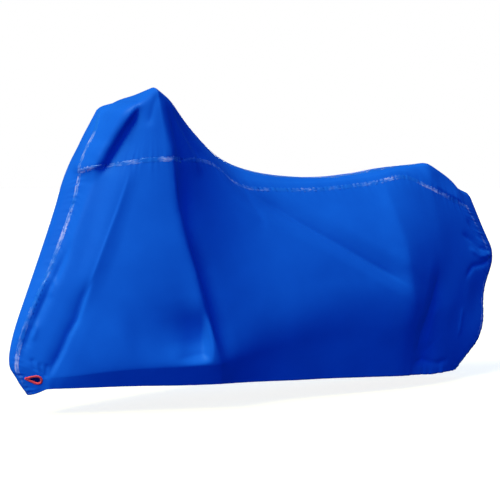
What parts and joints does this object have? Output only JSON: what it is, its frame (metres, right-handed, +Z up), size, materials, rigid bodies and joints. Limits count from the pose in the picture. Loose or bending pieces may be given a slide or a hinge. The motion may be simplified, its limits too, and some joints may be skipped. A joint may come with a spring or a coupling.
{
  "type": "motorcycle cover",
  "caption": "Fitted hollow cover of coated nylon, draped as over a parked motorcycle: tall peaked hood, dipped saddle and rounded tail, taped seams and a red-bound lock hole.",
  "frame": {"origin": "underside of the cloth at the lowest part of the saddle dip, where the covered seat holds it up", "axes": "+X from nose to tail, +Y to the right-hand side, +Z up; the ground is 0.906 m below the origin"},
  "size_m": [2.2074, 0.6935, 1.1771],
  "materials": {
    "coated_nylon": "soft sheen",
    "seam_tape": "glossy, crinkled",
    "binding": "matt"
  },
  "bodies": {
    "root": {"centre_panel": "coated_nylon", "side_panel_left": "coated_nylon", "side_panel_right": "coated_nylon", "lock_patch": "coated_nylon", "seam_tape_left": "seam_tape", "seam_tape_right": "seam_tape", "lock_binding": "binding"}
  },
  "joints": []
}
